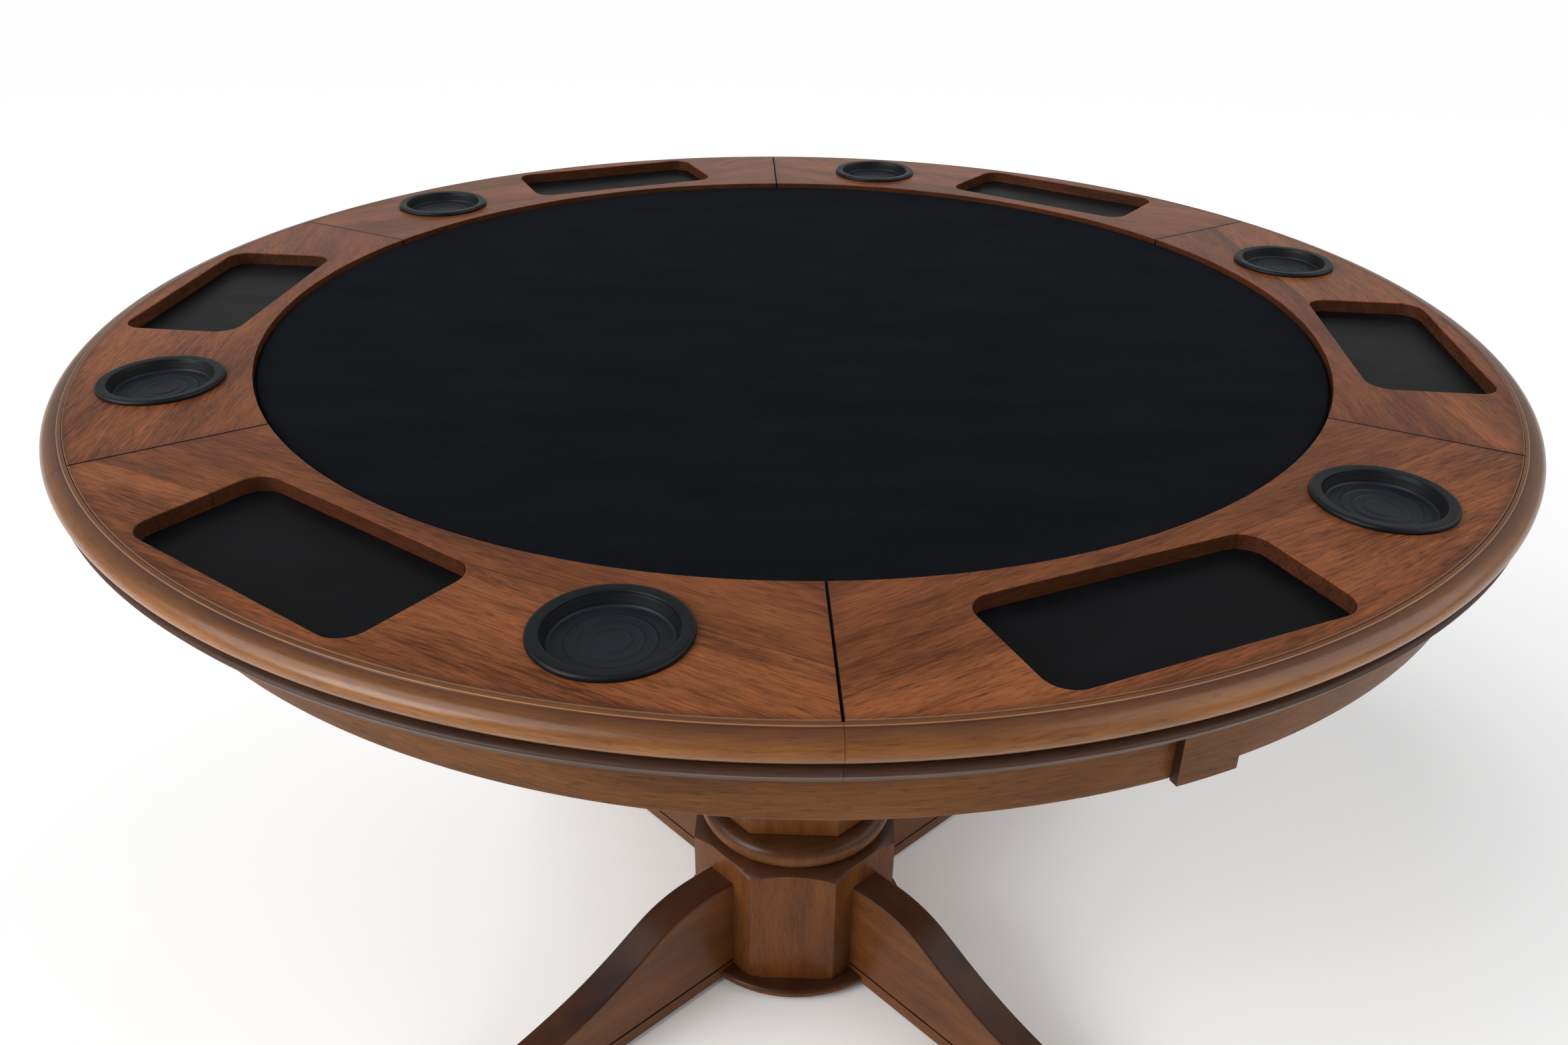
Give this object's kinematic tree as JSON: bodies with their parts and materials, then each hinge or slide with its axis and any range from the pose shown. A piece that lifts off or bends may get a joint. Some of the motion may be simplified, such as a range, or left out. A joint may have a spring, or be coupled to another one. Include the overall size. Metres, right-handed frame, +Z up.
{
  "type": "round gaming table",
  "caption": "Round pedestal card table with a padded cloth bed, a wooden rail with recessed chip trays and drop-in cup holders, on curved legs.",
  "frame": {"origin": "on the floor, under the middle of the playing top", "axes": "+Z up; the four legs point along the diagonals of +X and +Y; the base stands 12 mm off the middle of the loose top, towards +X"},
  "size_m": [1.32, 1.3198, 0.807],
  "materials": {
    "rail_veneer": "satin lacquer over reddish brown veneer",
    "edge_wood": "satin lacquer, glazed darker along the top of the nose",
    "apron_wood": "satin lacquer, brown",
    "leg_wood": "satin lacquer, dark reddish brown, glazed in the corners",
    "tray_lining": "thin black vinyl, satin",
    "cup_rubber": "moulded black rubber, satin",
    "felt": "short-napped black playing cloth",
    "foam": "thin closed-cell padding",
    "deck_wood": "stained board",
    "inner_wood": "plain planed wood",
    "spacer_black": "matt black",
    "glide_nylon": "dark brown nylon",
    "zinc_steel": "zinc plated"
  },
  "bodies": {
    "base": {"apron_1": "apron_wood", "apron_2": "apron_wood", "apron_3": "apron_wood", "apron_4": "apron_wood", "base_disc": "leg_wood", "bearer_lower": "inner_wood", "bearer_upper": "inner_wood", "column": "leg_wood", "foot_glides": "glide_nylon", "frame_screws": "zinc_steel", "hub": "leg_wood", "joint_block_1": "apron_wood", "joint_block_2": "apron_wood", "joint_block_3": "apron_wood", "joint_block_4": "apron_wood", "leg_1": "leg_wood", "leg_2": "leg_wood", "leg_3": "leg_wood", "leg_4": "leg_wood", "leg_dowels": "inner_wood", "leg_studs": "zinc_steel", "mounting_plate": "inner_wood", "neck_ring": "leg_wood", "nuts_and_washers": "zinc_steel", "splice_blocks": "inner_wood", "tie_rod": "zinc_steel"},
    "playing_top": {"bed_board": "deck_wood", "bed_felt": "felt", "bed_foam": "foam", "deck_board": "deck_wood", "deck_screws": "zinc_steel", "edge_moulding_1": "edge_wood", "edge_moulding_2": "edge_wood", "edge_moulding_3": "edge_wood", "edge_moulding_4": "edge_wood", "edge_moulding_5": "edge_wood", "edge_moulding_6": "edge_wood", "rail_segment_1": "rail_veneer", "rail_segment_2": "rail_veneer", "rail_segment_3": "rail_veneer", "rail_segment_4": "rail_veneer", "rail_segment_5": "rail_veneer", "rail_segment_6": "rail_veneer", "ring_spacer": "spacer_black", "tray_liner_1": "tray_lining", "tray_liner_2": "tray_lining", "tray_liner_3": "tray_lining", "tray_liner_4": "tray_lining", "tray_liner_5": "tray_lining", "tray_liner_6": "tray_lining", "under_ring_1": "apron_wood", "under_ring_2": "apron_wood", "under_ring_3": "apron_wood", "under_ring_4": "apron_wood"},
    "cup_1": {"cup_holder_1": "cup_rubber"},
    "cup_2": {"cup_holder_2": "cup_rubber"},
    "cup_3": {"cup_holder_3": "cup_rubber"},
    "cup_4": {"cup_holder_4": "cup_rubber"},
    "cup_5": {"cup_holder_5": "cup_rubber"},
    "cup_6": {"cup_holder_6": "cup_rubber"}
  },
  "joints": [
    {"name": "top_lift", "type": "slide", "parent": "base", "child": "playing_top", "axis": [0, 0, 1], "range_m": [0, 0.15]},
    {"name": "cup_lift_1", "type": "slide", "parent": "playing_top", "child": "cup_1", "axis": [0, 0, 1], "range_m": [0, 0.06]},
    {"name": "cup_lift_2", "type": "slide", "parent": "playing_top", "child": "cup_2", "axis": [0, 0, 1], "range_m": [0, 0.06]},
    {"name": "cup_lift_3", "type": "slide", "parent": "playing_top", "child": "cup_3", "axis": [0, 0, 1], "range_m": [0, 0.06]},
    {"name": "cup_lift_4", "type": "slide", "parent": "playing_top", "child": "cup_4", "axis": [0, 0, 1], "range_m": [0, 0.06]},
    {"name": "cup_lift_5", "type": "slide", "parent": "playing_top", "child": "cup_5", "axis": [0, 0, 1], "range_m": [0, 0.06]},
    {"name": "cup_lift_6", "type": "slide", "parent": "playing_top", "child": "cup_6", "axis": [0, 0, 1], "range_m": [0, 0.06]}
  ]
}
